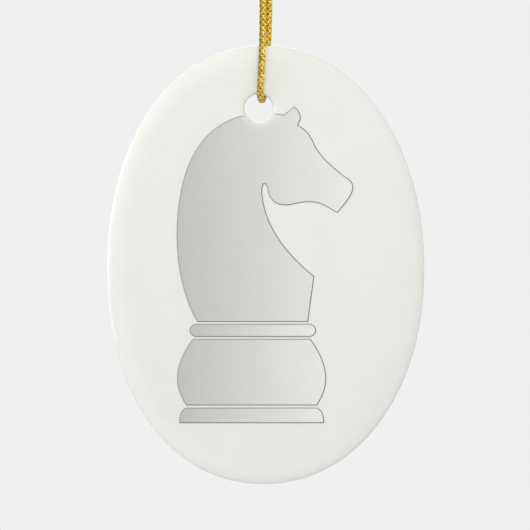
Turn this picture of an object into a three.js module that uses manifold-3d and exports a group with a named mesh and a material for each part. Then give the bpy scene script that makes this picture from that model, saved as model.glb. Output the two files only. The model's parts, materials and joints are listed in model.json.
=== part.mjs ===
// Oval porcelain ornament with a printed chess knight, hung on a loop of gold cord.
// Millimetres, +Z up, printed face towards -Y.
// The origin is the point where the loop bears on a hook, just under its knot.
import * as THREE from 'three';
import { mergeVertices } from 'three/addons/utils/BufferGeometryUtils.js';
import Module from 'manifold-3d';

const wasm = await Module();
wasm.setup();

// Plaque: a flat oval of glazed porcelain with rounded edges
const PLAQUE_WIDTH = 69.8;
const PLAQUE_HEIGHT = 96.4;
const PLAQUE_THICKNESS = 3.2;
const PLAQUE_CENTRE_X = -0.13; // it hangs from a hole left of its middle
const PLAQUE_CENTRE_Z = -86.81;
const OVAL_POWER = 2.1; // 2 is a plain ellipse, more is squarer
const OVAL_SEGMENTS = 96;
const SWELLS = 3; // the cast oval is not quite true: it swells and dips this often round its rim
const SWELL_HEIGHT = 0.2;
const SWELL_TURN = 0.86; // radians
const EDGE_WIDTH = 5.5; // how far in from the rim each face starts to fall away
const EDGE_DROP = 1.5; // how far it falls, which leaves a narrow band upright at the rim
const EDGE_STEPS = 8;

// Hanging hole, from the plaque's centre
const HOLE_RADIUS = 3.05; // at mid-thickness
const HOLE_CORNER = 0.8; // radius of the hole's rounded edge
const HOLE_SHOULDER = 1.3; // beyond that edge, how far out each face starts to dip towards it
const HOLE_SHOULDER_DROP = 0.25;
const HOLE_CORNER_STEPS = 4;
const HOLE_SHOULDER_STEPS = 4;
const HOLE_SEGMENTS = 48;
const HOLE_X = -1.35;
const HOLE_Z = 34.51;

// Printed figure, drawn about its own upright axis, placed from the plaque's centre
const PRINT_THICKNESS = 0.05;
const PRINT_AXIS_X = -2.92;
const PRINT_ZERO_Z = -0.11;
const PRINT_CURVE_STEPS = 10;
const PRINT_CLEAR_OF_HOLE = 0.1;

// Cord
const CORD_DIAMETER = 1.55;
const CORD_SIDES = 8;
const CORD_GAP = 0.3; // between two stretches, face to face
const CORD_STEP = 4;
const TURN_STEP = 0.6; // finer, where the cord bends through the hole
const HEAD_LENGTH = 2.7; // under the knot, where the loop pivots on its hook
const TOP_LENGTH = 21;
const LOW_LENGTH = 22.6;

// The loop's route: down the front of the plaque, back through the hole, up behind
const CORD_ROUTE = [
  [-0.78, 0.0, 0.0],
  [-0.76, -0.24, -3.0],
  [-0.7, -0.82, -8.0],
  [-0.64, -1.55, -14.0],
  [-0.59, -2.2, -20.0],
  [-0.56, -2.7, -26.0],
  [-0.56, -3.0, -32.0],
  [-0.65, -3.12, -38.0],
  [-0.84, -3.14, -43.0],
  [-0.97, -3.13, -45.4],
  [-1.08, -3.1, -47.26],
  [-1.15, -2.68, -48.81],
  [-1.1, -1.55, -49.94],
  [-0.86, 0.0, -50.36],
  [-0.6, 1.55, -49.94],
  [-0.36, 2.68, -48.81],
  [-0.18, 3.1, -47.26],
  [0.02, 3.13, -45.4],
  [0.2, 3.14, -43.0],
  [0.49, 3.12, -38.0],
  [0.72, 3.0, -32.0],
  [0.78, 2.7, -26.0],
  [0.8, 2.2, -20.0],
  [0.81, 1.55, -14.0],
  [0.82, 0.82, -8.0],
  [0.79, 0.24, -3.0],
  [0.78, 0.0, 0.0],
];

// Knot and its two cut tails
const KNOT_BASE_Z = 0.3;
const KNOT_HEIGHT = 5.8;
const KNOT_HALF_WIDTH = 2.95;
const KNOT_HALF_DEPTH = 2.45;
const TAIL_ROUTE = [
  [1.0, 0.0, 6.4],
  [1.55, -0.1, 9.2],
  [2.75, -0.35, 13.4],
];

const porcelain = { color: 0xf2f2ee, roughness: 0.16, metalness: 0 };
const greyPrint = { color: 0xc9cac6, roughness: 0.2, metalness: 0 };
const goldYarn = { color: 0xc99a2e, roughness: 0.35, metalness: 0.7 };

// The group that holds every named mesh
const ornament = new THREE.Group();

function addPart(parent, name, geometry, finish) {
  const mesh = new THREE.Mesh(geometry, new THREE.MeshStandardMaterial(finish));
  mesh.name = name;
  parent.add(mesh);
  return mesh;
}

// Booleans
function toSolid(geometry) {
  const bare = geometry.clone();
  bare.deleteAttribute('normal');
  bare.deleteAttribute('uv');
  const merged = mergeVertices(bare);
  return new wasm.Manifold(new wasm.Mesh({
    numProp: 3,
    vertProperties: merged.attributes.position.array,
    triVerts: new Uint32Array(merged.index.array),
  }));
}

function toGeometry(solid) {
  const mesh = solid.getMesh();
  const geometry = new THREE.BufferGeometry();
  geometry.setAttribute('position', new THREE.BufferAttribute(mesh.vertProperties, 3));
  geometry.setIndex(new THREE.BufferAttribute(mesh.triVerts, 1));
  geometry.computeVertexNormals();
  return geometry;
}

// Plaque
function ovalPoint(angle) {
  const power = 2 / OVAL_POWER;
  const across = Math.cos(angle);
  const up = Math.sin(angle);
  const point = new THREE.Vector2(
    (PLAQUE_WIDTH / 2) * Math.sign(across) * Math.abs(across) ** power,
    (PLAQUE_HEIGHT / 2) * Math.sign(up) * Math.abs(up) ** power,
  );
  const swell = SWELL_HEIGHT * Math.cos(SWELLS * angle + SWELL_TURN);
  return point.setLength(point.length() + swell);
}

function ovalSlab() {
  const outline = [];
  for (let i = 0; i < OVAL_SEGMENTS; i += 1) {
    outline.push(ovalPoint((i / OVAL_SEGMENTS) * 2 * Math.PI));
  }
  const upright = PLAQUE_THICKNESS - 2 * EDGE_DROP;
  const slab = new THREE.ExtrudeGeometry(new THREE.Shape(outline), {
    depth: upright,
    bevelThickness: EDGE_DROP,
    bevelSize: EDGE_WIDTH,
    bevelOffset: -EDGE_WIDTH,
    bevelSegments: EDGE_STEPS,
  });
  slab.translate(0, 0, -upright / 2);
  slab.rotateX(Math.PI / 2);
  return slab;
}

// The hole's space: a spool, narrowest at mid-thickness and flared towards both faces
function holeSpool() {
  const cornerEnd = HOLE_RADIUS + HOLE_CORNER;
  const shoulderEnd = cornerEnd + HOLE_SHOULDER;
  const radii = [];
  for (let i = 0; i <= HOLE_CORNER_STEPS; i += 1) {
    const angle = (i / HOLE_CORNER_STEPS) * (Math.PI / 2);
    radii.push(cornerEnd - HOLE_CORNER * Math.cos(angle));
  }
  for (let i = 1; i <= HOLE_SHOULDER_STEPS; i += 1) {
    radii.push(cornerEnd + (i / HOLE_SHOULDER_STEPS) * HOLE_SHOULDER);
  }
  const flare = radii.map((radius) => {
    const inCorner = Math.min(1, Math.max(0, (cornerEnd - radius) / HOLE_CORNER));
    const inShoulder = (shoulderEnd - radius) / (shoulderEnd - HOLE_RADIUS);
    const drop = HOLE_CORNER * (1 - Math.sqrt(1 - inCorner ** 2)) + HOLE_SHOULDER_DROP * inShoulder ** 2;
    return [radius, PLAQUE_THICKNESS / 2 - drop];
  });
  const half = [...flare, [shoulderEnd, PLAQUE_THICKNESS], [0, PLAQUE_THICKNESS]];
  const upper = half.map(([radius, y]) => new THREE.Vector2(radius, y));
  const lower = half.map(([radius, y]) => new THREE.Vector2(radius, -y)).reverse();
  const spool = new THREE.LatheGeometry([...lower, ...upper], HOLE_SEGMENTS);
  spool.translate(HOLE_X, 0, HOLE_Z);
  return spool;
}

function plaqueGeometry() {
  return toGeometry(toSolid(ovalSlab()).subtract(toSolid(holeSpool())));
}

// Printed figure: four separate areas, drawn about the figure's own upright axis
function headShape() {
  const head = new THREE.Shape();
  head.moveTo(-11.85, -12.17); // foot of the neck, behind
  head.bezierCurveTo(-14.75, -7.4, -16.25, -0.4, -16.35, 6.2); // back of the neck
  head.bezierCurveTo(-16.35, 23.4, -10.05, 32.9, 2.05, 33.45); // crest
  head.bezierCurveTo(4.65, 33.45, 5.85, 33.35, 7.15, 33.08); // poll
  head.lineTo(9.35, 34.88); // ear
  head.bezierCurveTo(10.9, 33.5, 11.05, 32.4, 10.05, 30.95);
  head.bezierCurveTo(12.25, 29.6, 12.85, 28.6, 13.88, 26.3); // forehead
  head.bezierCurveTo(15.05, 24.0, 17.87, 21.4, 20.92, 19.2); // nose
  head.bezierCurveTo(22.45, 18.2, 22.45, 17.2, 21.82, 15.8); // nostril
  head.bezierCurveTo(21.2, 14.55, 19.85, 12.95, 18.8, 11.75); // mouth
  head.bezierCurveTo(16.45, 12.9, 15.65, 14.1, 12.65, 14.1); // chin
  head.bezierCurveTo(10.05, 14.1, 9.25, 13.4, 7.45, 13.4); // jaw
  head.bezierCurveTo(4.25, 13.4, 3.65, 15.8, 3.55, 17.3); // cheek
  head.bezierCurveTo(3.45, 18.5, 2.25, 18.5, 2.2, 17.0); // throat notch
  head.bezierCurveTo(2.3, 9.4, 7.15, 3.0, 13.65, -2.3); // throat
  head.lineTo(12.3, -12.17); // chest
  head.closePath();
  return head;
}

function collarShape() {
  const left = -13.54;
  const right = 14.04;
  const halfHeight = 1.33;
  const middle = -14.13;
  const collar = new THREE.Shape();
  collar.absarc(left + halfHeight, middle, halfHeight, Math.PI / 2, 1.5 * Math.PI);
  collar.absarc(right - halfHeight, middle, halfHeight, 1.5 * Math.PI, 2.5 * Math.PI);
  collar.closePath();
  return collar;
}

function barrelShape() {
  const barrel = new THREE.Shape();
  barrel.moveTo(12.9, -16.09);
  barrel.lineTo(-12.9, -16.09);
  barrel.bezierCurveTo(-17.15, -22.1, -17.05, -26.2, -14.3, -30.48);
  barrel.lineTo(14.3, -30.48);
  barrel.bezierCurveTo(17.05, -26.2, 17.15, -22.1, 12.9, -16.09);
  return barrel;
}

function baseShape() {
  const base = new THREE.Shape();
  base.moveTo(14.2, -31.17);
  base.lineTo(-14.2, -31.17);
  base.bezierCurveTo(-15.5, -31.47, -15.8, -32.87, -15.8, -34.38);
  base.lineTo(15.8, -34.38);
  base.bezierCurveTo(15.8, -32.87, 15.5, -31.47, 14.2, -31.17);
  return base;
}

// A thin film of ink that lies on the plaque's front face, trimmed clear of the hole's rim
function printGeometry(shape) {
  const film = new THREE.ExtrudeGeometry(shape, {
    depth: PRINT_THICKNESS,
    bevelEnabled: false,
    curveSegments: PRINT_CURVE_STEPS,
  });
  film.rotateX(Math.PI / 2);
  film.translate(PRINT_AXIS_X, -PLAQUE_THICKNESS / 2, PRINT_ZERO_Z);
  const radius = HOLE_RADIUS + HOLE_CORNER + HOLE_SHOULDER + PRINT_CLEAR_OF_HOLE;
  const rim = new THREE.CylinderGeometry(radius, radius, 2 * PLAQUE_THICKNESS, HOLE_SEGMENTS);
  rim.translate(HOLE_X, 0, HOLE_Z);
  return toGeometry(toSolid(film).subtract(toSolid(rim)));
}

// Cord
function cordSection() {
  const section = new THREE.Shape();
  for (let i = 0; i < CORD_SIDES; i += 1) {
    const angle = (i / CORD_SIDES) * 2 * Math.PI;
    const x = (CORD_DIAMETER / 2) * Math.cos(angle);
    const y = (CORD_DIAMETER / 2) * Math.sin(angle);
    if (i === 0) {
      section.moveTo(x, y);
    } else {
      section.lineTo(x, y);
    }
  }
  section.closePath();
  return section;
}

function curveThrough(points) {
  return new THREE.CatmullRomCurve3(points.map((point) => new THREE.Vector3(...point)));
}

// One stretch of a route, from one distance along it to another
function cordGeometry(route, start, end, step) {
  const steps = Math.max(2, Math.ceil((end - start) / step));
  const length = route.getLength();
  const points = [];
  for (let i = 0; i <= steps; i += 1) {
    points.push(route.getPointAt((start + ((end - start) * i) / steps) / length));
  }
  return new THREE.ExtrudeGeometry(cordSection(), {
    steps,
    extrudePath: new THREE.CatmullRomCurve3(points),
  });
}

function knotGeometry() {
  const steps = 12;
  const profile = [];
  for (let i = 0; i <= steps; i += 1) {
    const angle = -Math.PI / 2 + (i / steps) * Math.PI;
    const radius = i % steps === 0 ? 0 : Math.cos(angle) ** 0.8;
    profile.push(new THREE.Vector2(radius, Math.sin(angle)));
  }
  const knot = new THREE.LatheGeometry(profile, 20);
  knot.rotateX(Math.PI / 2);
  knot.scale(KNOT_HALF_WIDTH, KNOT_HALF_DEPTH, KNOT_HEIGHT / 2);
  knot.translate(0, 0, KNOT_BASE_Z + KNOT_HEIGHT / 2);
  return knot;
}

// The plaque and its print
const plaque = new THREE.Group();
plaque.position.set(PLAQUE_CENTRE_X, 0, PLAQUE_CENTRE_Z);
ornament.add(plaque);
addPart(plaque, 'porcelain_plaque', plaqueGeometry(), porcelain);
addPart(plaque, 'print_head', printGeometry(headShape()), greyPrint);
addPart(plaque, 'print_collar', printGeometry(collarShape()), greyPrint);
addPart(plaque, 'print_barrel', printGeometry(barrelShape()), greyPrint);
addPart(plaque, 'print_base', printGeometry(baseShape()), greyPrint);

// The loop of cord, a strand on each side of the plaque and a turn through the hole
const loop = curveThrough(CORD_ROUTE);
const frontStretches = [
  ['head', 0, HEAD_LENGTH, CORD_STEP],
  ['top', HEAD_LENGTH + CORD_GAP, HEAD_LENGTH + TOP_LENGTH, CORD_STEP],
  ['low', HEAD_LENGTH + TOP_LENGTH + CORD_GAP, HEAD_LENGTH + TOP_LENGTH + LOW_LENGTH, CORD_STEP],
];
const loopLength = loop.getLength();
for (const [name, start, end, step] of frontStretches) {
  const front = cordGeometry(loop, start, end, step);
  const back = cordGeometry(loop, loopLength - end, loopLength - start, step);
  addPart(ornament, `front_strand_${name}`, front, goldYarn);
  addPart(ornament, `back_strand_${name}`, back, goldYarn);
}
const turnStart = HEAD_LENGTH + TOP_LENGTH + LOW_LENGTH + CORD_GAP;
const turn = cordGeometry(loop, turnStart, loopLength - turnStart, TURN_STEP);
addPart(ornament, 'hole_turn', turn, goldYarn);

// The knot that closes the loop, and the two cut ends above it
addPart(ornament, 'knot', knotGeometry(), goldYarn);
for (const [name, side] of [['tail_left', -1], ['tail_right', 1]]) {
  const route = curveThrough(TAIL_ROUTE.map(([x, y, z]) => [side * x, side * y, z]));
  addPart(ornament, name, cordGeometry(route, 0, route.getLength(), CORD_DIAMETER * 2), goldYarn);
}

export default ornament;
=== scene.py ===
import json
import math

import bpy
import numpy as np
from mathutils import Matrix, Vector
from mathutils.geometry import delaunay_2d_cdt


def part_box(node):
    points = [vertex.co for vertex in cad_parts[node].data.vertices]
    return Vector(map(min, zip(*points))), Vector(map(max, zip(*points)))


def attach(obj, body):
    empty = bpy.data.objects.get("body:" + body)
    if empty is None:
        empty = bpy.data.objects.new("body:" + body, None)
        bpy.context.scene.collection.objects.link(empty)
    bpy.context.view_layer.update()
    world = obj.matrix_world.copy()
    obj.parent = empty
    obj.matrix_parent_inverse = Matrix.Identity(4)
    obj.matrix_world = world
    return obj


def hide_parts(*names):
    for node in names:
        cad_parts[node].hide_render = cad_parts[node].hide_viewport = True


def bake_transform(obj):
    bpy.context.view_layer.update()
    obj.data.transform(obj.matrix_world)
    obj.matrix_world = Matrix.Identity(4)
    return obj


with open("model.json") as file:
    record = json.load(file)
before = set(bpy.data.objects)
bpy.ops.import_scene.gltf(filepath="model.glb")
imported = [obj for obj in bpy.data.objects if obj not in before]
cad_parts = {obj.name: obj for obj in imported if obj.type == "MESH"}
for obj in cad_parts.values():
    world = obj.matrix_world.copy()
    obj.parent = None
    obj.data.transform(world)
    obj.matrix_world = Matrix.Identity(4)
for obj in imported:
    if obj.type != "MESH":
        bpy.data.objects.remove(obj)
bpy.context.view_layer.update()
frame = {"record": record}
MM = 0.001

# ---------------------------------------------------------------- sizes, in millimetres
plaque_low, plaque_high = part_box("porcelain_plaque")
HALF_THICK = (plaque_high.y - plaque_low.y) / 2 / MM
back_face = next(m for m in frame["record"]["mounts"] if m["name"] == "back_face")
CENTRE_X, _, CENTRE_Z = (value / MM for value in back_face["pos_m"])
HALF_WIDTH = 34.9
HALF_HEIGHT = 48.2
OVAL_POWER = 2.1
SWELLS = 3  # the cast oval swells and dips this often round its rim
SWELL_HEIGHT = 0.2
SWELL_TURN = 0.86
EDGE_WIDTH = 5.3  # how far in from the rim the glazed faces start to fall away
EDGE_POWER = 1.8
HOLE_X = -1.35  # from the plaque's centre, as the print is too
HOLE_Z = 34.51
HOLE_RADIUS = 3.05
HOLE_CORNER = 0.8  # radius of the hole's rounded edge
HOLE_SHOULDER = 1.3  # beyond that edge, how far out each face starts to dip towards it
HOLE_SHOULDER_DROP = 0.25
HOLE_SHOULDER_END = HOLE_RADIUS + HOLE_CORNER + HOLE_SHOULDER

PRINT_AXIS_X = -2.92
PRINT_ZERO_Z = -0.11
PRINT_PROUD = 0.012  # the printed film stands this far off the glaze
LINE_PROUD = 0.02
LINE_WIDTH = 0.22
PRINT_DEPTH = 0.05  # how far the film's back is sunk into the plaque
PRINT_CLEAR = 0.12  # the film stops this far from the hole's wall
INK_START = 0.05
INK_FADE = 0.6

CORD_DIAMETER = 1.55
CORD_ROUTE = [
    (-0.78, 0.0, 0.0),
    (-0.76, -0.24, -3.0),
    (-0.7, -0.82, -8.0),
    (-0.64, -1.55, -14.0),
    (-0.59, -2.2, -20.0),
    (-0.56, -2.7, -26.0),
    (-0.56, -3.0, -32.0),
    (-0.65, -3.12, -38.0),
    (-0.84, -3.14, -43.0),
    (-0.97, -3.13, -45.4),
    (-1.08, -3.1, -47.26),
    (-1.15, -2.68, -48.81),
    (-1.1, -1.55, -49.94),
    (-0.86, 0.0, -50.36),
    (-0.6, 1.55, -49.94),
    (-0.36, 2.68, -48.81),
    (-0.18, 3.1, -47.26),
    (0.02, 3.13, -45.4),
    (0.2, 3.14, -43.0),
    (0.49, 3.12, -38.0),
    (0.72, 3.0, -32.0),
    (0.78, 2.7, -26.0),
    (0.8, 2.2, -20.0),
    (0.81, 1.55, -14.0),
    (0.82, 0.82, -8.0),
    (0.79, 0.24, -3.0),
    (0.78, 0.0, 0.0),
]
HEAD_LENGTH = 2.7  # of each strand, from the knot to where the loop's own piece starts
INSIDE_KNOT = 1.2  # how far the strands run on into the knot

# ---------------------------------------------------------------- camera
FIELD_WIDTH = 116.4  # what the picture spans, half-way between the plaque's middle and its front face
LENS = 200.0
SENSOR = 36.0
AIM_X = 0.02  # from the plaque's centre
AIM_Z = 0.11


def make_camera():
    """A long lens square to the printed face, far enough off for the field's width to fit."""
    data = bpy.data.cameras.new("camera")
    data.sensor_width = SENSOR
    data.lens = LENS
    camera = bpy.data.objects.new("camera", data)
    bpy.context.scene.collection.objects.link(camera)
    distance = FIELD_WIDTH / 2 / (SENSOR / 2 / LENS)
    camera.location = Vector((CENTRE_X + AIM_X, -HALF_THICK / 2 - distance, CENTRE_Z + AIM_Z)) * MM
    camera.rotation_euler = (math.pi / 2, 0, 0)
    bpy.context.scene.camera = camera


make_camera()


# ---------------------------------------------------------------- mesh helpers
def make_mesh(name, points_mm, faces, smooth=True):
    """A mesh object from points in millimetres and faces of any size."""
    mesh = bpy.data.meshes.new(name)
    mesh.from_pydata((np.asarray(points_mm) * MM).tolist(), [], faces)
    mesh.validate()
    if smooth:
        mesh.shade_smooth()
    obj = bpy.data.objects.new(name, mesh)
    bpy.context.scene.collection.objects.link(obj)
    return obj


def add_value(obj, name, values):
    """A number for each point of a mesh, which its material can read."""
    layer = obj.data.attributes.new(name, "FLOAT", "POINT")
    layer.data.foreach_set("value", np.asarray(values, np.float32))


class Builder:
    """Collects the tubes of a cord piece, with the yarn coordinates that its material reads."""

    def __init__(self):
        self.points = []
        self.faces = []
        self.along = []
        self.around = []
        self.height = []
        self.count = 0

    def tube(self, rings, along, height=0.0):
        """A closed tube through rings, an array of (steps, sides, 3). Height is 1 on top yarns; the material
        paints shade where it is low.
        """
        steps, sides, _ = rings.shape
        first = self.count
        self.points.append(rings.reshape(-1, 3))
        self.along.append(np.repeat(along, sides))
        self.around.append(np.tile(np.arange(sides) / sides, steps))
        self.height.append(np.repeat(np.broadcast_to(height, steps), sides))
        self.count += steps * sides
        i, j = np.meshgrid(np.arange(steps - 1), np.arange(sides), indexing="ij")
        k = (j + 1) % sides
        quads = np.stack([i * sides + j, i * sides + k, (i + 1) * sides + k, (i + 1) * sides + j], -1)
        self.faces += (quads.reshape(-1, 4) + first).tolist()
        self.faces.append([first + n for n in range(sides)][::-1])
        last = first + (steps - 1) * sides
        self.faces.append([last + n for n in range(sides)])

    def finish(self, name):
        obj = make_mesh(name, np.concatenate(self.points), self.faces)
        add_value(obj, "along", np.concatenate(self.along))
        add_value(obj, "around", np.concatenate(self.around))
        add_value(obj, "height", np.concatenate(self.height))
        return obj


# ---------------------------------------------------------------- curves
def curve_through(points, per_span=40):
    """A centripetal Catmull-Rom curve through the points, finely sampled."""
    points = np.asarray(points, float)
    ends = [2 * points[0] - points[1], 2 * points[-1] - points[-2]]
    p = np.vstack([ends[0], points, ends[1]])
    out = []
    for a, b, c, d in zip(p[:-3], p[1:-2], p[2:-1], p[3:]):
        t1 = np.linalg.norm(b - a) ** 0.5
        t2 = t1 + np.linalg.norm(c - b) ** 0.5
        t3 = t2 + np.linalg.norm(d - c) ** 0.5
        t = np.linspace(t1, t2, per_span, endpoint=False)[:, None]
        ab = (t1 - t) / t1 * a + t / t1 * b
        bc = (t2 - t) / (t2 - t1) * b + (t - t1) / (t2 - t1) * c
        cd = (t3 - t) / (t3 - t2) * c + (t - t2) / (t3 - t2) * d
        abc = (t2 - t) / t2 * ab + t / t2 * bc
        bcd = (t3 - t) / (t3 - t1) * bc + (t - t1) / (t3 - t1) * cd
        out.append((t2 - t) / (t2 - t1) * abc + (t - t1) / (t2 - t1) * bcd)
    out.append(p[-2][None])
    return np.vstack(out)


def evenly(line, step):
    """The line again with points a step apart, and the distance along it of each."""
    lengths = np.linalg.norm(np.diff(line, axis=0), axis=1)
    along = np.concatenate([[0], np.cumsum(lengths)])
    at = np.linspace(0, along[-1], int(round(along[-1] / step)) + 1)
    return np.stack([np.interp(at, along, line[:, k]) for k in range(3)], 1), at


def unit(v):
    return v / np.maximum(np.linalg.norm(v, axis=-1, keepdims=True), 1e-12)


def side_axes(line):
    """Two axes square to the line at each point, carried along it without twisting."""
    tangent = unit(np.gradient(line, axis=0))
    first = np.zeros_like(line)
    start = np.array([1.0, 0, 0]) - tangent[0] * tangent[0][0]
    first[0] = start / np.linalg.norm(start)
    for i in range(1, len(line)):
        carried = first[i - 1] - tangent[i] * (first[i - 1] @ tangent[i])
        first[i] = carried / np.linalg.norm(carried)
    return first, np.cross(tangent, first)


# ---------------------------------------------------------------- braid
CARRIERS = 4  # yarns each way round
BRAID_PITCH = 5.0
BRAID_RADIUS = 0.58
BRAID_WEAVE = 0.1  # how far a yarn rises over and sinks under those that it crosses
PLIES = 3  # side by side in each yarn
YARN_HALF_WIDTH = 0.28
YARN_HALF_HEIGHT = 0.12
YARN_WANDER = 0.015  # how far a yarn strays out and in, slowly along its length
YARN_SWELL = 0.07  # how much its width varies, as a share
YARN_SWELL_RATE = 2.9  # radians per millimetre of cord
BRAID_STEP = 0.16
CORE_RADIUS = 0.46
CORE_SIDES = 10


def yarn_section():
    """A flat yarn's outline, as shares of its half width and half height: a ridge for each ply."""
    across = np.linspace(-1, 1, 3 * PLIES + 1)
    ridge = 0.55 + 0.45 * np.abs(np.sin(np.linspace(0, PLIES * math.pi, 3 * PLIES + 1)))
    top = np.stack([across, ridge * np.sqrt(1 - 0.75 * across**2)], 1)
    return np.vstack([top, [(0.75, -0.7), (-0.75, -0.7)]])


def braid(builder, line, along, axes, rng):
    """A tubular braid of flat yarns about a core, where each yarn goes over one and under one."""
    one, two = axes
    section = yarn_section()
    for way in (1, -1):
        for i in range(CARRIERS):
            angle = 2 * math.pi * (i / CARRIERS + way * along / BRAID_PITCH)
            weave = way * np.cos(2 * math.pi * CARRIERS * along / BRAID_PITCH)
            wander = YARN_WANDER * np.sin(along * rng.uniform(1.2, 2.4) + rng.uniform(0, 6.3))
            out = np.cos(angle)[:, None] * one + np.sin(angle)[:, None] * two
            middle = line + out * (BRAID_RADIUS + BRAID_WEAVE * weave + wander)[:, None]
            ahead = unit(np.gradient(middle, axis=0))
            across = unit(np.cross(ahead, out))
            up = np.cross(across, ahead)
            swelling = np.sin(along * YARN_SWELL_RATE + rng.uniform(0, 6.3))
            width = YARN_HALF_WIDTH * (1 + YARN_SWELL * swelling)
            ring = (
                middle[:, None]
                + across[:, None] * (width[:, None] * section[:, 0])[..., None]
                + up[:, None] * (YARN_HALF_HEIGHT * section[:, 1])[..., None]
            )
            rng.random()  # a draw passed over, so that the ones after it stay the same
            # the height tells the material where to paint shade on yarns that sink under others
            builder.tube(ring, along, 0.5 + 0.5 * weave)
    steps = np.unique(np.append(np.arange(0, len(line), 4), len(line) - 1))
    turn = np.linspace(0, 2 * math.pi, CORE_SIDES, endpoint=False)
    ring = line[steps][:, None] + CORE_RADIUS * (
        one[steps][:, None] * np.cos(turn)[:, None] + two[steps][:, None] * np.sin(turn)[:, None]
    )
    builder.tube(ring, along[steps])


def loop_pieces():
    """The loop below the knot, and the two short stretches at the knot."""
    run_up = [(x, y, INSIDE_KNOT) for x, y, _ in (CORD_ROUTE[0], CORD_ROUTE[-1])]
    route = curve_through([run_up[0], *CORD_ROUTE, run_up[1]])
    line, along = evenly(route, BRAID_STEP)
    one, two = side_axes(line)
    rng = np.random.default_rng(3)
    head = int(round((INSIDE_KNOT + HEAD_LENGTH) / BRAID_STEP))
    spans = {"loop": (head, len(line) - head), "front": (0, head + 1), "back": (len(line) - head - 1, None)}
    seed = int(rng.integers(1, 1000))
    builders = {"loop": Builder(), "crotch": Builder()}
    for name, (start, end) in spans.items():
        part = slice(start, end)
        builder = builders["loop" if name == "loop" else "crotch"]
        same = np.random.default_rng(seed)
        braid(builder, line[part], along[part], (one[part], two[part]), same)
    loop_line = line[spans["loop"][0] : spans["loop"][1]]
    return builders["loop"].finish("cord_loop"), builders["crotch"].finish("cord_crotch"), loop_line


cord_loop, cord_crotch, loop_line = loop_pieces()

# ---------------------------------------------------------------- knot and tails
# The route of the pair of strands through the knot: distance out from its axis,
# angle about it in degrees, and height, in millimetres
KNOT_ROUTE = [
    (0.1, 270, -0.6),
    (0.3, 270, 0.2),
    (0.6, 272, 1.2),
    (0.78, 278, 2.4),
    (0.9, 290, 3.6),
    (1.35, 315, 4.55),
    (1.9, 350, 4.6),
    (2.1, 390, 4.25),
    (2.15, 440, 3.75),
    (2.15, 490, 3.3),
    (2.15, 540, 2.85),
    (2.15, 590, 2.4),
    (2.1, 640, 1.95),
    (1.9, 690, 1.6),
    (1.4, 735, 1.45),
    (0.85, 780, 1.9),
    (0.62, 805, 2.9),
    (0.6, 810, 4.0),
    (0.55, 810, 5.2),
    (0.45, 810, 6.3),
]
STRAND_OFFSET = 0.72  # of each strand from the middle of the pair
TAIL_ROUTE = [(1.0, 0.2, 7.2), (1.5, 0.05, 9.3), (2.7, -0.3, 12.6)]
FRAY_LENGTH = 1.3
FRAY_FIBRES = 26
FRAY_SPREAD = 0.32  # how far a fibre bends aside, as a share of its length
FRAY_RADIUS = 0.035
FRAY_HEIGHT = 0.8  # gets as little painted shade as a yarn that is nearly on top


def knot_line(side):
    """One strand through the knot and out into its tail."""
    out, angle, height = np.array(KNOT_ROUTE, float).T
    angle = np.radians(angle)
    pair = curve_through(np.stack([out * np.cos(angle), out * np.sin(angle), height], 1), 12)
    radial = unit(pair * (1, 1, 0))
    beside = unit(np.cross(unit(np.gradient(pair, axis=0)), radial))
    strand = pair + side * STRAND_OFFSET * beside
    tail_side = 1 if strand[-1][0] > 0 else -1
    tail = [(tail_side * x, tail_side * y, z) for x, y, z in TAIL_ROUTE]
    return curve_through(np.vstack([strand[::8], tail]), 12)


def fray(builder, end, direction, rng):
    """Loose fibres that fan out of a cut end."""
    for _ in range(FRAY_FIBRES):
        spread = rng.normal(0, 1, 3)
        spread -= direction * (spread @ direction)
        root = end + unit(spread) * rng.uniform(0, CORD_DIAMETER * 0.4) - direction * 0.15
        length = FRAY_LENGTH * rng.uniform(0.35, 1)
        t = np.linspace(0, 1, 5)[:, None]
        line = root + direction * length * t + spread * FRAY_SPREAD * length * t**1.6
        one, two = side_axes(line)
        turn = np.linspace(0, 2 * math.pi, 4, endpoint=False)
        thin = FRAY_RADIUS * (1 - 0.5 * t)
        ring = line[:, None] + thin[..., None] * (
            one[:, None] * np.cos(turn)[:, None] + two[:, None] * np.sin(turn)[:, None]
        )
        rng.random()  # a draw passed over, so that the ones after it stay the same
        builder.tube(ring, t[:, 0] * length, FRAY_HEIGHT)


def knot_piece():
    """The overhand knot and its two tails, each strand in one run of braid."""
    builder = Builder()
    rng = np.random.default_rng(8)
    for side in (-1, 1):
        line, along = evenly(knot_line(side), BRAID_STEP)
        braid(builder, line, along, side_axes(line), rng)
        fray(builder, line[-1], unit(line[-1] - line[-4]), rng)
    return builder.finish("overhand_knot")


overhand_knot = knot_piece()


# ---------------------------------------------------------------- plaque
def swell(angle):
    """How far the cast rim stands off the true oval."""
    return SWELL_HEIGHT * np.cos(SWELLS * angle + SWELL_TURN)


def oval(angle):
    """Points of the oval's rim and the way out from each, about the plaque's centre."""
    power = 2 / OVAL_POWER
    x = HALF_WIDTH * np.sign(np.cos(angle)) * np.abs(np.cos(angle)) ** power
    z = HALF_HEIGHT * np.sign(np.sin(angle)) * np.abs(np.sin(angle)) ** power
    rim = np.stack([x, z], 1)
    rim += unit(rim) * swell(angle)[:, None]
    ahead = np.roll(rim, -1, 0) - np.roll(rim, 1, 0)
    return rim, unit(ahead[:, ::-1] * (1, -1))


def slope(value, half):
    """How steeply a coordinate's share of the oval's level rises, before the outer root."""
    return np.sign(value) * np.abs(value / half) ** (OVAL_POWER - 1) / half


def edge_height(depth):
    """Half the plaque's thickness at a distance in from its rim."""
    inner = np.clip(1 - depth / EDGE_WIDTH, 0, 1)
    return HALF_THICK * (1 - inner**EDGE_POWER) ** (1 / EDGE_POWER)


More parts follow.
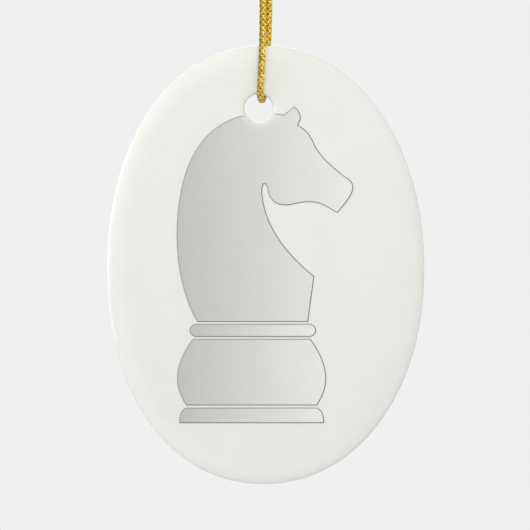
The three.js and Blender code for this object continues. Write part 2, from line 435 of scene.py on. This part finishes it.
def lip_height(out):
    """The same near the hole, from the distance to the hole's axis."""
    in_corner = np.clip((HOLE_RADIUS + HOLE_CORNER - out) / HOLE_CORNER, 0, 1)
    in_shoulder = np.clip((HOLE_SHOULDER_END - out) / (HOLE_SHOULDER_END - HOLE_RADIUS), 0, 1)
    return HALF_THICK - HOLE_CORNER * (1 - np.sqrt(1 - in_corner**2)) - HOLE_SHOULDER_DROP * in_shoulder**2


def surface(x, z):
    """How far the front face stands off the plaque's middle plane at a place on it."""
    level = (np.abs(x / HALF_WIDTH) ** OVAL_POWER + np.abs(z / HALF_HEIGHT) ** OVAL_POWER) ** (1 / OVAL_POWER)
    steepness = np.hypot(slope(x, HALF_WIDTH), slope(z, HALF_HEIGHT))
    steepness *= np.maximum(level, 1e-9) ** (1 - OVAL_POWER)
    depth = (1 - level) / np.maximum(steepness, 1e-9) + swell(np.arctan2(z / HALF_HEIGHT, x / HALF_WIDTH))
    return np.minimum(edge_height(depth), lip_height(np.hypot(x - HOLE_X, z - HOLE_Z)))


def plaque_piece():
    """The glazed body: rings from the hole's wall out over the front, and back over the rear."""
    segments = 640
    rim, out = oval(np.linspace(0, 2 * math.pi, segments, endpoint=False))
    flat_edge = rim - out * EDGE_WIDTH
    hole = np.array([HOLE_X, HOLE_Z])
    bearing = unit(flat_edge - hole)
    rings = []
    wall_end = float(lip_height(HOLE_RADIUS))
    for share in (0, 0.35, 0.7, 0.9):
        rings.append((hole + bearing * HOLE_RADIUS, wall_end * share))
    corner = HOLE_RADIUS + HOLE_CORNER * (1 - np.cos(np.linspace(0, math.pi / 2, 12)))
    shoulder = np.linspace(corner[-1], HOLE_SHOULDER_END, 10)[1:]
    for radius in (*corner, *shoulder):
        rings.append((hole + bearing * radius, float(lip_height(radius))))
    lip_edge = hole + bearing * HOLE_SHOULDER_END
    for share in (0.03, 0.08, 0.16, 0.28, 0.42, 0.56, 0.7, 0.84, 1.0):
        rings.append((lip_edge + (flat_edge - lip_edge) * share, HALF_THICK))
    for share in np.linspace(0, 1, 29)[1:]:
        depth = EDGE_WIDTH * (1 - share) ** 1.9
        rings.append((rim - out * depth, float(edge_height(depth))))
    front = [np.column_stack([p[:, 0], np.full(segments, -h), p[:, 1]]) for p, h in rings]
    back = [ring * (1, -1, 1) for ring in front[-2::-1]]
    points = np.concatenate(front + back) + (CENTRE_X, 0, CENTRE_Z)
    count = len(front) + len(back)
    faces = []
    for i in range(count):
        a, b = i * segments, (i + 1) % count * segments
        for j in range(segments):
            k = (j + 1) % segments
            faces.append((a + k, a + j, b + j, b + k))
    return make_mesh("porcelain_body", points, faces)


porcelain_body = plaque_piece()


# ---------------------------------------------------------------- printed figure
# Outlines about the figure's own upright axis: a start, then straight lines to a point
# and curves with two control points and an end
HEAD = [
    (-11.85, -12.17),
    ((-14.75, -7.4), (-16.25, -0.4), (-16.35, 6.2)),
    ((-16.35, 23.4), (-10.05, 32.9), (2.05, 33.45)),
    ((4.65, 33.45), (5.85, 33.35), (7.15, 33.08)),
    (9.35, 34.88),
    ((10.9, 33.5), (11.05, 32.4), (10.05, 30.95)),
    ((12.25, 29.6), (12.85, 28.6), (13.88, 26.3)),
    ((15.05, 24.0), (17.87, 21.4), (20.92, 19.2)),
    ((22.45, 18.2), (22.45, 17.2), (21.82, 15.8)),
    ((21.2, 14.55), (19.85, 12.95), (18.8, 11.75)),
    ((16.45, 12.9), (15.65, 14.1), (12.65, 14.1)),
    ((10.05, 14.1), (9.25, 13.4), (7.45, 13.4)),
    ((4.25, 13.4), (3.65, 15.8), (3.55, 17.3)),
    ((3.45, 18.5), (2.25, 18.5), (2.2, 17.0)),
    ((2.3, 9.4), (7.15, 3.0), (13.65, -2.3)),
    (12.3, -12.17),
    (-11.85, -12.17),
]
ROUND = 0.5523  # the control points of a quarter circle, as a share of its radius
COLLAR_X = 0.25  # it sits slightly right of the figure's axis
COLLAR_HALF = 13.79
COLLAR_RADIUS = 1.33
COLLAR_Z = -14.13


def collar_outline():
    left, right = COLLAR_X - COLLAR_HALF, COLLAR_X + COLLAR_HALF
    low, high = COLLAR_Z - COLLAR_RADIUS, COLLAR_Z + COLLAR_RADIUS
    inner_left, inner_right = left + COLLAR_RADIUS, right - COLLAR_RADIUS
    pull = ROUND * COLLAR_RADIUS
    return [
        (inner_right, high),
        (inner_left, high),
        ((inner_left - pull, high), (left, COLLAR_Z + pull), (left, COLLAR_Z)),
        ((left, COLLAR_Z - pull), (inner_left - pull, low), (inner_left, low)),
        (inner_right, low),
        ((inner_right + pull, low), (right, COLLAR_Z - pull), (right, COLLAR_Z)),
        ((right, COLLAR_Z + pull), (inner_right + pull, high), (inner_right, high)),
    ]


BARREL = [
    (12.9, -16.09),
    (-12.9, -16.09),
    ((-17.15, -22.1), (-17.05, -26.2), (-14.3, -30.48)),
    (14.3, -30.48),
    ((17.05, -26.2), (17.15, -22.1), (12.9, -16.09)),
]
BASE = [
    (14.2, -31.17),
    (-14.2, -31.17),
    ((-15.5, -31.47), (-15.8, -32.87), (-15.8, -34.38)),
    (15.8, -34.38),
    ((15.8, -32.87), (15.5, -31.47), (14.2, -31.17)),
]
OUTLINE_STEP = 0.35


def outline_points(outline):
    """A closed outline as points about 0.35 mm apart, corners kept, the last not repeated."""
    points = [np.array([outline[0]])]
    here = np.array(outline[0])
    for part in outline[1:]:
        if isinstance(part[0], tuple):
            first, second, end = (np.array(p) for p in part)
        else:
            end = np.array(part)
            first, second = here + (end - here) / 3, here + (end - here) * 2 / 3
        steps = max(3, int(np.linalg.norm(end - here) / OUTLINE_STEP))
        t = np.linspace(0, 1, steps + 1)[1:, None]
        points.append(
            (1 - t) ** 3 * here + 3 * (1 - t) ** 2 * t * first + 3 * (1 - t) * t**2 * second + t**3 * end
        )
        here = end
    return np.vstack(points)[:-1] + (PRINT_AXIS_X, PRINT_ZERO_Z)


def inside(points, loop):
    """Which points lie inside a closed loop, by counting crossings."""
    ax, az = loop.T
    bx, bz = np.roll(loop, -1, 0).T
    x, z = points[:, :1], points[:, 1:]
    spans = (az > z) != (bz > z)
    with np.errstate(divide="ignore", invalid="ignore"):
        crosses = x < (bx - ax) * (z - az) / (bz - az) + ax
    return (spans & crosses).sum(1) % 2 == 1


def from_hole(points):
    return np.hypot(points[:, 0] - HOLE_X, points[:, 1] - HOLE_Z)


def ink(out):
    """How much dye took at a distance from the hole's axis: none at its edge, then more and more."""
    return 1 - np.exp(-np.maximum(out - HOLE_RADIUS - INK_START, 0) / INK_FADE)


def solid_film(name, flat, triangles, proud):
    """A thin closed film on the plaque's front face."""
    height = surface(flat[:, 0], flat[:, 1])
    x, z = flat[:, 0] + CENTRE_X, flat[:, 1] + CENTRE_Z
    front = np.column_stack([x, -height - proud, z])
    back = np.column_stack([x, -height + PRINT_DEPTH, z])
    count = len(flat)
    faces = [tuple(t) for t in triangles]
    edges = {(t[i], t[(i + 1) % len(t)]) for t in faces for i in range(len(t))}
    sides = [(b, a, a + count, b + count) for a, b in sorted(edges) if (b, a) not in edges]
    behind = [tuple(v + count for v in reversed(t)) for t in faces]
    return make_mesh(name, np.vstack([front, back]), faces + sides + behind, smooth=False)


def fill_piece(name, outline):
    """The printed area: triangles on a fine grid, cut round the hole."""
    loop = outline_points(outline)
    turn = np.linspace(0, 2 * math.pi, 72, endpoint=False)
    ring = np.column_stack([np.cos(turn), np.sin(turn)])
    cut = ring * (HOLE_RADIUS + PRINT_CLEAR) + (HOLE_X, HOLE_Z)
    low, high = loop.min(0), loop.max(0)
    grid = []
    for row, z in enumerate(np.arange(low[1], high[1], 1.0)):
        for x in np.arange(low[0] + 0.55 * (row % 2), high[0], 1.1):
            grid.append((x, z))
    for radius in (3.45, 3.8, 4.25, 4.8, 5.5, 6.3):
        grid += (ring[:: 1 if radius < 4 else 2] * radius + (HOLE_X, HOLE_Z)).tolist()
    grid = np.array(grid)
    near = np.min(np.linalg.norm(grid[:, None] - loop[None], axis=2), 1)
    grid = grid[inside(grid, loop) & (near > 0.3) & (from_hole(grid) > HOLE_RADIUS + 0.3)]
    has_hole = from_hole(loop).min() < HOLE_RADIUS + 1
    parts = [loop, cut] if has_hole else [loop]
    edges = []
    first = 0
    for part in parts:
        edges += [(first + i, first + (i + 1) % len(part)) for i in range(len(part))]
        first += len(part)
    verts = [Vector(p) for p in np.vstack(parts + [grid])]
    flat, _, triangles, *_ = delaunay_2d_cdt(verts, edges, [], 0, 1e-6)
    flat = np.array([tuple(p) for p in flat])
    triangles = np.array([t for t in triangles if len(t) == 3])
    middle = flat[triangles].mean(1)
    keep = inside(middle, loop)
    if has_hole:
        keep &= from_hole(middle) > HOLE_RADIUS + PRINT_CLEAR
    triangles = triangles[keep]
    used, triangles = np.unique(triangles, return_inverse=True)
    flat, triangles = flat[used], triangles.reshape(-1, 3)
    a, b, c = (flat[triangles[:, i]] for i in range(3))
    turned = (b[:, 0] - a[:, 0]) * (c[:, 1] - a[:, 1]) - (b[:, 1] - a[:, 1]) * (c[:, 0] - a[:, 0]) < 0
    triangles[turned] = triangles[turned][:, ::-1]
    obj = solid_film(name, flat, triangles.tolist(), PRINT_PROUD)
    across = (flat[:, 0] - low[0]) / (high[0] - low[0])
    add_value(obj, "across", np.tile(across, 2))
    add_value(obj, "ink", np.tile(ink(from_hole(flat)), 2))
    return obj


def line_piece(name, outline):
    """The darker line drawn round a printed area, left out where the hole cuts it."""
    loop = outline_points(outline)
    before, after = unit(loop - np.roll(loop, 1, 0)), unit(np.roll(loop, -1, 0) - loop)
    left = np.stack([before, after])[:, :, ::-1] * (-1, 1)
    mitre = unit(left.sum(0))
    mitre /= np.clip((mitre * left[0]).sum(1), 0.5, 1)[:, None]
    area = (loop[:, 0] * np.roll(loop[:, 1], -1) - loop[:, 1] * np.roll(loop[:, 0], -1)).sum()
    outward = -mitre * np.sign(area)
    kept = from_hole(loop) > HOLE_RADIUS + 0.3
    count = len(loop)
    flat = np.vstack([loop + outward * LINE_WIDTH / 2, loop - outward * LINE_WIDTH / 2])
    quads = []
    for i in range(count):
        j = (i + 1) % count
        if kept[i] and kept[j]:
            quad = (i, j, j + count, i + count)
            quads.append(quad if area < 0 else quad[::-1])
    used, quads = np.unique(np.array(quads), return_inverse=True)
    quads = quads.reshape(-1, 4)
    flat = flat[used]
    facing = np.tile(unit(outward), (2, 1))[used]
    obj = solid_film(name, flat, quads.tolist(), LINE_PROUD)
    weight = 0.5 + 0.42 * facing[:, 0] - 0.27 * facing[:, 1]
    add_value(obj, "weight", np.tile(np.clip(weight, 0, 1), 2))
    add_value(obj, "ink", np.tile(ink(from_hole(flat)), 2))
    return obj


OUTLINES = {"head": HEAD, "collar": collar_outline(), "barrel": BARREL, "base": BASE}
fills = {name: fill_piece(f"{name}_fill", outline) for name, outline in OUTLINES.items()}
lines = {name: line_piece(f"{name}_line", outline) for name, outline in OUTLINES.items()}


# ---------------------------------------------------------------- materials
def linear(level):
    """An sRGB level from 0 to 255 as the linear value that a shader takes."""
    c = level / 255
    return c / 12.92 if c <= 0.04045 else ((c + 0.055) / 1.055) ** 2.4


def rgb(red, green, blue):
    return (linear(red), linear(green), linear(blue), 1.0)


class Nodes:
    """A short way to write a material's node tree."""

    def __init__(self, name):
        self.material = bpy.data.materials.new(name)
        self.material.use_nodes = True
        self.tree = self.material.node_tree
        self.tree.nodes.clear()
        self.shader = self.add("ShaderNodeBsdfPrincipled")
        output = self.add("ShaderNodeOutputMaterial")
        self.link(self.shader.outputs["BSDF"], output.inputs["Surface"])

    def add(self, kind, **values):
        node = self.tree.nodes.new(kind)
        for key, value in values.items():
            setattr(node, key, value)
        return node

    def link(self, out, into):
        self.tree.links.new(out, into)

    def feed(self, socket, value):
        if isinstance(value, bpy.types.NodeSocket):
            self.link(value, socket)
        else:
            socket.default_value = value

    def set(self, **values):
        for key, value in values.items():
            self.feed(self.shader.inputs[key.replace("_", " ")], value)

    def place(self):
        """The surface's own coordinates, which don't move when the object does."""
        return self.add("ShaderNodeTexCoord").outputs["Object"]

    def noise(self, vector, size_mm, detail=2.0, rough=0.5):
        node = self.add("ShaderNodeTexNoise")
        self.link(vector, node.inputs["Vector"])
        node.inputs["Scale"].default_value = 1 / (size_mm * MM)
        node.inputs["Detail"].default_value = detail
        node.inputs["Roughness"].default_value = rough
        return node.outputs["Fac"]

    def cells(self, vector, size_mm, output="Distance"):
        node = self.add("ShaderNodeTexVoronoi")
        self.link(vector, node.inputs["Vector"])
        node.inputs["Scale"].default_value = 1 / (size_mm * MM)
        return node.outputs[output]

    def value(self, name):
        return self.add("ShaderNodeAttribute", attribute_name=name).outputs["Fac"]

    def remap(self, x, low, high, to_low=0.0, to_high=1.0):
        node = self.add("ShaderNodeMapRange")
        self.feed(node.inputs["Value"], x)
        for key, v in zip(("From Min", "From Max", "To Min", "To Max"), (low, high, to_low, to_high)):
            node.inputs[key].default_value = v
        return node.outputs["Result"]

    def maths(self, operation, a, b=0.0):
        node = self.add("ShaderNodeMath", operation=operation)
        self.feed(node.inputs[0], a)
        self.feed(node.inputs[1], b)
        return node.outputs[0]

    def mix(self, share, a, b, blend="MIX"):
        node = self.add("ShaderNodeMix", data_type="RGBA", blend_type=blend)
        self.feed(node.inputs[0], share)
        self.feed(node.inputs[6], a)
        self.feed(node.inputs[7], b)
        return node.outputs[2]

    def bump(self, height, depth_mm):
        node = self.add("ShaderNodeBump")
        node.inputs["Distance"].default_value = depth_mm * MM
        self.link(height, node.inputs["Height"])
        return node.outputs["Normal"]


GLAZE = rgb(232, 233, 228)


def add_glaze_surface(nodes, place):
    """The glossy skin that plaque and print share: a faint orange peel under a clear coat."""
    peel = nodes.noise(place, 1.9, 1.0)
    fine = nodes.noise(place, 0.35, 2.0)
    height = nodes.maths("ADD", peel, nodes.maths("MULTIPLY", fine, 0.12))
    nodes.set(
        Normal=nodes.bump(height, 0.006),
        Roughness=nodes.remap(nodes.noise(place, 14.0, 3.0), 0.3, 0.7, 0.16, 0.24),
        Coat_Weight=0.5,
        Coat_Roughness=0.05,
        IOR=1.5,
    )


def speckled(nodes, place, colour):
    """Kiln specks and a very slight clouding over a glaze colour."""
    cloud = nodes.remap(nodes.noise(place, 9.0, 3.0), 0.3, 0.7, 0.0, 1.0)
    clouded = nodes.mix(cloud, colour, nodes.mix(1.0, colour, (0.985, 0.985, 0.98, 1), "MULTIPLY"))
    near = nodes.cells(place, 7.5)
    size = nodes.remap(nodes.noise(place, 6.0, 0.0), 0.35, 0.65, 0.0, 0.032)
    speck = nodes.remap(nodes.maths("SUBTRACT", size, near), 0.0, 0.012, 0.0, 0.22)
    return nodes.mix(speck, clouded, (0.42, 0.40, 0.37, 1))


def glaze_material():
    nodes = Nodes("white_glaze")
    place = nodes.place()
    nodes.set(Base_Color=speckled(nodes, place, GLAZE), Subsurface_Weight=0.2, Subsurface_Scale=0.0012)
    nodes.shader.inputs["Subsurface Radius"].default_value = (1.0, 0.9, 0.75)
    add_glaze_surface(nodes, place)
    return nodes.material


def fill_material():
    nodes = Nodes("grey_print")
    place = nodes.place()
    grain = nodes.remap(nodes.noise(place, 0.25, 2.0), 0.3, 0.7, -0.012, 0.012)
    across = nodes.maths("ADD", nodes.value("across"), grain)
    dark = rgb(191, 191, 189)
    light = rgb(230, 232, 226)
    grey = nodes.mix(across, dark, light)
    inked = nodes.mix(nodes.value("ink"), GLAZE, grey)
    nodes.set(Base_Color=speckled(nodes, place, inked))
    add_glaze_surface(nodes, place)
    return nodes.material


def line_material():
    nodes = Nodes("grey_line")
    place = nodes.place()
    light = rgb(166, 167, 163)
    dark = rgb(112, 113, 110)
    grey = nodes.mix(nodes.value("weight"), light, dark)
    ragged = nodes.remap(nodes.noise(place, 0.2, 2.0), 0.35, 0.65, 0.0, 0.12)
    softened = nodes.mix(ragged, grey, light)
    nodes.set(Base_Color=nodes.mix(nodes.value("ink"), GLAZE, softened))
    add_glaze_surface(nodes, place)
    return nodes.material


def cord_material():
    """Metallic film wound on yellow yarn: the lay of the fibres, a patchy tone, painted glints and painted
    dark reflections on its facets, and painted shade where yarns sink under others.
    """
    nodes = Nodes("gold_yarn")
    place = nodes.place()
    along, around = nodes.value("along"), nodes.value("around")
    turns = nodes.maths("ADD", nodes.maths("MULTIPLY", along, 21.0), nodes.maths("MULTIPLY", around, 12.57))
    lay = nodes.maths("SINE", turns)
    glint = nodes.add("ShaderNodeSeparateColor")
    nodes.link(nodes.cells(place, 0.3, "Color"), glint.inputs[0])
    patch = nodes.remap(nodes.noise(place, 0.45, 2.0), 0.36, 0.64)
    # dark is the patchy deep tone and also the colour of the painted dark reflections and the painted crevice
    # shade; pale is the colour of the painted glints
    dark = (0.26, 0.15, 0.005, 1)
    gold = (0.9, 0.6, 0.055, 1)
    pale = (1.0, 0.87, 0.27, 1)
    toned = nodes.mix(patch, nodes.mix(0.5, dark, gold), gold)
    # painted glints: random facet cells get the pale colour in place of highlights
    bright = nodes.mix(nodes.remap(glint.outputs[0], 0.62, 0.9), toned, pale)
    # painted dark reflections: other facet cells get the dark colour
    tone_with_painted_reflections = nodes.mix(nodes.remap(glint.outputs[1], 0.82, 0.95, 0.0, 0.75), bright, dark)
    # painted shade: yarns sinking under others are pulled to the dark colour, as if shaded in the crevices
    raised = nodes.remap(nodes.value("height"), 0.05, 0.5)
    painted_crevice_shade = nodes.mix(raised, dark, tone_with_painted_reflections)
    relief = nodes.maths("ADD", nodes.maths("MULTIPLY", lay, 0.3), glint.outputs[2])
    nodes.set(
        Base_Color=painted_crevice_shade,
        Metallic=nodes.remap(glint.outputs[2], 0.1, 0.5, 0.35, 0.9),
        Roughness=nodes.remap(patch, 0.0, 1.0, 0.45, 0.3),
        Normal=nodes.bump(relief, 0.05),
    )
    return nodes.material


white_glaze = glaze_material()
grey_print = fill_material()
grey_line = line_material()
gold_yarn = cord_material()
porcelain_body.data.materials.append(white_glaze)
for obj in fills.values():
    obj.data.materials.append(grey_print)
for obj in lines.values():
    obj.data.materials.append(grey_line)
for obj in (cord_loop, cord_crotch, overhand_knot):
    obj.data.materials.append(gold_yarn)

# ---------------------------------------------------------------- what rides on what
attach(porcelain_body, "plaque")
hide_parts("porcelain_plaque")
for name in OUTLINES:
    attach(fills[name], "plaque")
    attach(lines[name], "plaque")
    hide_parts(f"print_{name}")

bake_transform(cord_loop)
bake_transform(cord_crotch)
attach(overhand_knot, "hanger")
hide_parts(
    "front_strand_top",
    "back_strand_top",
    "front_strand_low",
    "back_strand_low",
    "hole_turn",
)
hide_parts("front_strand_head", "back_strand_head")
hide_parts("knot", "tail_left", "tail_right")


# ---------------------------------------------------------------- floor and light
BACKGROUND = linear(240)
FLOOR_Z = -300.0
FLOOR_RADIUS = 850.0
FILL_LIGHT = 0.271
WIDE_ANGLE = 2.2
BACK_ANGLE = 1.0
FRONT_FROM = (0.0, -0.6, 0.256)
FRONT_DISTANCE = 500.0
FRONT_SIZE = 300.0
FRONT_POWER = 1.23


def make_floor():
    """A plain round floor, well below the ornament."""
    sides = 96
    turn = np.linspace(0, 2 * math.pi, sides, endpoint=False)
    ring = np.column_stack([np.cos(turn), np.sin(turn)]) * FLOOR_RADIUS
    points = np.column_stack([ring, np.full(sides, FLOOR_Z)])
    floor = make_mesh("floor", points, [tuple(range(sides))], smooth=False)
    nodes = Nodes("pale_floor")
    nodes.set(Base_Color=(0.86, 0.86, 0.86, 1), Roughness=0.7, Specular_IOR_Level=0.2)
    floor.data.materials.append(nodes.material)
    return floor


def make_world():
    """Even pale light from all round. The camera sees it as one flat pale grey."""
    world = bpy.data.worlds.new("studio")
    world.use_nodes = True
    bpy.context.scene.world = world
    nodes, links = world.node_tree.nodes, world.node_tree.links
    lit = nodes["Background"]
    seen = nodes.new("ShaderNodeBackground")
    for node, strength in ((lit, FILL_LIGHT), (seen, BACKGROUND)):
        node.inputs["Color"].default_value = (1, 1, 1, 1)
        node.inputs["Strength"].default_value = strength
    choose = nodes.new("ShaderNodeMixShader")
    links.new(nodes.new("ShaderNodeLightPath").outputs["Is Camera Ray"], choose.inputs[0])
    links.new(lit.outputs[0], choose.inputs[1])
    links.new(seen.outputs[0], choose.inputs[2])
    links.new(choose.outputs[0], nodes["World Output"].inputs["Surface"])


def aim(light, direction):
    """Turn a light to shine from a direction."""
    light.rotation_mode = "QUATERNION"
    light.rotation_quaternion = Vector(direction).normalized().to_track_quat("Z", "Y")


def shine_only_on(light, pieces):
    """Light linking: the light reaches these pieces and nothing else."""
    lit = bpy.data.collections.new(light.name + "_shines_on")
    for piece in pieces:
        lit.objects.link(piece)
    light.light_linking.receiver_collection = lit


def make_wide_light(name, direction, strength, pieces, angle):
    """A light as wide as a large softbox close by, the same all over the pieces that it lights."""
    data = bpy.data.lights.new(name, "SUN")
    data.angle = angle
    data.energy = strength
    light = bpy.data.objects.new(name, data)
    bpy.context.scene.collection.objects.link(light)
    aim(light, direction)
    shine_only_on(light, pieces)


def make_front_light(pieces):
    """A softbox above the camera, near enough to light the plaque's top more than its foot."""
    data = bpy.data.lights.new("front_light", "AREA")
    data.shape = "SQUARE"
    data.size = FRONT_SIZE * MM
    data.energy = FRONT_POWER
    light = bpy.data.objects.new("front_light", data)
    bpy.context.scene.collection.objects.link(light)
    way = Vector(FRONT_FROM).normalized()
    light.location = (Vector((CENTRE_X, 0, CENTRE_Z)) + way * FRONT_DISTANCE) * MM
    light.visible_camera = False
    light.visible_glossy = False
    aim(light, way)
    shine_only_on(light, pieces)


ceramic = [porcelain_body, *fills.values(), *lines.values()]
cord = [cord_loop, cord_crotch, overhand_knot]
floor = make_floor()
make_world()
# name, where it shines from, strength, what it lights and its angle
WIDE_LIGHTS = [
    ("left_light", (-3.0, -0.45, -1.0), 0.71, [*ceramic, floor], WIDE_ANGLE),
    ("top_light", (-1.76, -0.45, 3.0), 0.89, [*ceramic, floor], WIDE_ANGLE),
    ("right_light", (3.0, -0.45, 0.0), 0.8, [*ceramic, floor], WIDE_ANGLE),
    ("cord_light", (0.7, -0.7, 0.2), 3.1, cord, WIDE_ANGLE),
    ("cord_left_light", (-0.5, -0.85, 0.1), 0.4, cord, WIDE_ANGLE),
    ("rim_light", (-1.0, 0.0, 0.1), 0.85, ceramic, BACK_ANGLE),
    ("back_light", (0.0, 1.0, 0.45), 1.5, [*ceramic, *cord], BACK_ANGLE),
]
for wide_light in WIDE_LIGHTS:
    make_wide_light(*wide_light)
make_front_light([*ceramic, floor])
bpy.context.scene.view_settings.view_transform = "Standard"
